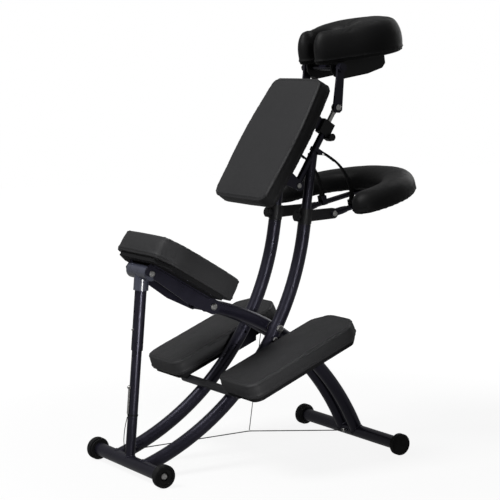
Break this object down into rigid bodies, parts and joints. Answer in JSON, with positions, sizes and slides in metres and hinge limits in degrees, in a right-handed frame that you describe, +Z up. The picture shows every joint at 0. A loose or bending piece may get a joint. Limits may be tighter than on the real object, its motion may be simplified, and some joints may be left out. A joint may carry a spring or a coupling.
{
  "type": "folding massage chair",
  "caption": "Folding massage chair with a curved tube frame, padded seat, leg rests, chest pad, armrest and a tilting horseshoe face cradle.",
  "frame": {"origin": "On the floor, under the middle of the chair's length and width.", "axes": "+X the way the seated client faces, towards the front bar; +Y the client's left; +Z up"},
  "size_m": [0.9692, 0.595, 1.277],
  "materials": {
    "black_vinyl": "soft grained upholstery vinyl, charcoal",
    "black_board": "plywood under black cloth",
    "frame_black": "black powder coat with a faint violet tint",
    "cross_grey": "grey painted tube",
    "bolt_steel": "zinc plated fasteners",
    "black_rubber": "moulded rubber",
    "black_plastic": "moulded plastic",
    "black_webbing": "woven webbing and cord",
    "cable_steel": "thin steel cable"
  },
  "bodies": {
    "main_frame": {"rear_bar": "frame_black", "axle_bolts": "bolt_steel", "main_tube_left": "frame_black", "main_tube_right": "frame_black", "pivot_bolt": "bolt_steel", "tube_bushes": "black_plastic", "post_stub": "frame_black", "pin_ring": "black_rubber", "pin_lanyard": "black_webbing", "cable_anchor": "frame_black", "leg_cross_tube": "cross_grey", "leg_boards": "black_board", "leg_brackets": "frame_black", "leg_bolts": "bolt_steel", "leg_pad_left": "black_vinyl", "leg_pad_right": "black_vinyl", "stay_cable": "cable_steel", "lift_cord": "cable_steel"},
    "wheel_left": {"wheel_left": "black_rubber"},
    "wheel_right": {"wheel_right": "black_rubber"},
    "front_leg": {"leg_tube_left": "frame_black", "leg_tube_right": "frame_black", "leg_spacer": "black_plastic", "front_bar": "frame_black", "front_caps": "black_rubber", "foot_bolt": "bolt_steel", "seat_hinge_bolt": "bolt_steel"},
    "seat": {"seat_brackets": "frame_black", "seat_board": "black_board", "seat_cushion": "black_vinyl"},
    "seat_post": {"post_upper": "frame_black", "post_head": "black_plastic", "post_cross_bolt": "bolt_steel"},
    "post_button": {"post_button": "bolt_steel"},
    "release_pin": {"release_pin": "bolt_steel"},
    "chest": {"chest_tubes": "frame_black", "chest_brackets": "frame_black", "chest_bolts": "bolt_steel", "rod_clamps": "black_plastic", "chest_cushion": "black_vinyl", "chest_board": "black_board", "arm_clamps": "black_plastic", "arm_straps": "black_webbing"},
    "height_knob_left": {"height_knob_left": "black_plastic"},
    "height_knob_right": {"height_knob_right": "black_plastic"},
    "clamp_knob_left": {"clamp_knob_left": "black_plastic"},
    "clamp_knob_right": {"clamp_knob_right": "black_plastic"},
    "cradle_extension": {"cradle_rods": "bolt_steel"},
    "cradle_arm": {"cradle_posts": "frame_black", "knuckle_bolts": "bolt_steel", "cradle_cross_rod": "frame_black"},
    "cradle_platform": {"cradle_platform": "black_plastic", "cradle_cushion": "black_vinyl"},
    "cam_lever": {"cam_lever": "black_plastic"},
    "armrest": {"arm_sleeves": "frame_black", "arm_rods": "frame_black", "arm_bolts": "bolt_steel", "armrest_board": "black_board", "armrest_cushion": "black_vinyl"}
  },
  "joints": [
    {"name": "wheel_left_spin", "type": "hinge", "parent": "main_frame", "child": "wheel_left", "pos_m": [-0.4526, 0.1875, 0.032], "axis": [0, 1, 0], "continuous": true},
    {"name": "wheel_right_spin", "type": "hinge", "parent": "main_frame", "child": "wheel_right", "pos_m": [-0.4526, -0.1875, 0.032], "axis": [0, 1, 0], "continuous": true},
    {"name": "frame_fold", "type": "hinge", "parent": "main_frame", "child": "front_leg", "pos_m": [-0.01375, 0, 0.38107], "axis": [0, 1, 0], "range_deg": [0, 80], "deforming": ["stay_cable", "lift_cord"]},
    {"name": "seat_swing", "type": "hinge", "parent": "front_leg", "child": "seat", "pos_m": [-0.2106, 0, 0.456], "axis": [0, 1, 0], "range_deg": [-135, 0]},
    {"name": "post_height", "type": "slide", "parent": "main_frame", "child": "seat_post", "axis": [0.0822, 0, 0.9966], "range_m": [-0.0762, 0]},
    {"name": "post_button_press", "type": "slide", "parent": "seat_post", "child": "post_button", "axis": [0.9966, 0, -0.0822], "range_m": [0, 0.004], "stiffness_N_per_m": 800},
    {"name": "release_pin_pull", "type": "slide", "parent": "main_frame", "child": "release_pin", "axis": [-0.9966, 0, 0.0822], "range_m": [0, 0.014]},
    {"name": "height_knob_left_turn", "type": "hinge", "parent": "chest", "child": "height_knob_left", "pos_m": [0.05885, 0.076, 0.69863], "axis": [-0.9903, 0, 0.1392], "continuous": true},
    {"name": "height_knob_right_turn", "type": "hinge", "parent": "chest", "child": "height_knob_right", "pos_m": [0.05885, -0.076, 0.69863], "axis": [-0.9903, 0, 0.1392], "continuous": true},
    {"name": "chest_height", "type": "slide", "parent": "main_frame", "child": "chest", "axis": [0.1392, 0, 0.9903], "range_m": [0, 0.06]},
    {"name": "clamp_knob_left_turn", "type": "hinge", "parent": "chest", "child": "clamp_knob_left", "pos_m": [0.16618, 0.094, 0.92265], "axis": [0, 1, 0], "continuous": true},
    {"name": "clamp_knob_right_turn", "type": "hinge", "parent": "chest", "child": "clamp_knob_right", "pos_m": [0.16618, -0.094, 0.92265], "axis": [0, 1, 0], "continuous": true},
    {"name": "cradle_reach", "type": "slide", "parent": "chest", "child": "cradle_extension", "axis": [0.527, 0, 0.8499], "range_m": [-0.02, 0.035]},
    {"name": "cradle_knuckle", "type": "hinge", "parent": "cradle_extension", "child": "cradle_arm", "pos_m": [0.1928, 0, 1.00734], "axis": [0, 1, 0], "range_deg": [-6, 20]},
    {"name": "cradle_tilt", "type": "hinge", "parent": "cradle_arm", "child": "cradle_platform", "pos_m": [0.2034, 0, 1.121], "axis": [0, 1, 0], "range_deg": [-8, 25]},
    {"name": "cam_lever_throw", "type": "hinge", "parent": "cradle_arm", "child": "cam_lever", "pos_m": [0.2034, 0.0926, 1.121], "axis": [0, 1, 0], "range_deg": [0, 80]},
    {"name": "armrest_lift", "type": "hinge", "parent": "chest", "child": "armrest", "pos_m": [0.18396, 0, 0.70074], "axis": [0, -1, 0], "range_deg": [0, 22], "deforming": ["arm_straps"]}
  ],
  "couplings": [
    {"joint": "seat_swing", "follows": "frame_fold", "ratio": -1.68}
  ]
}
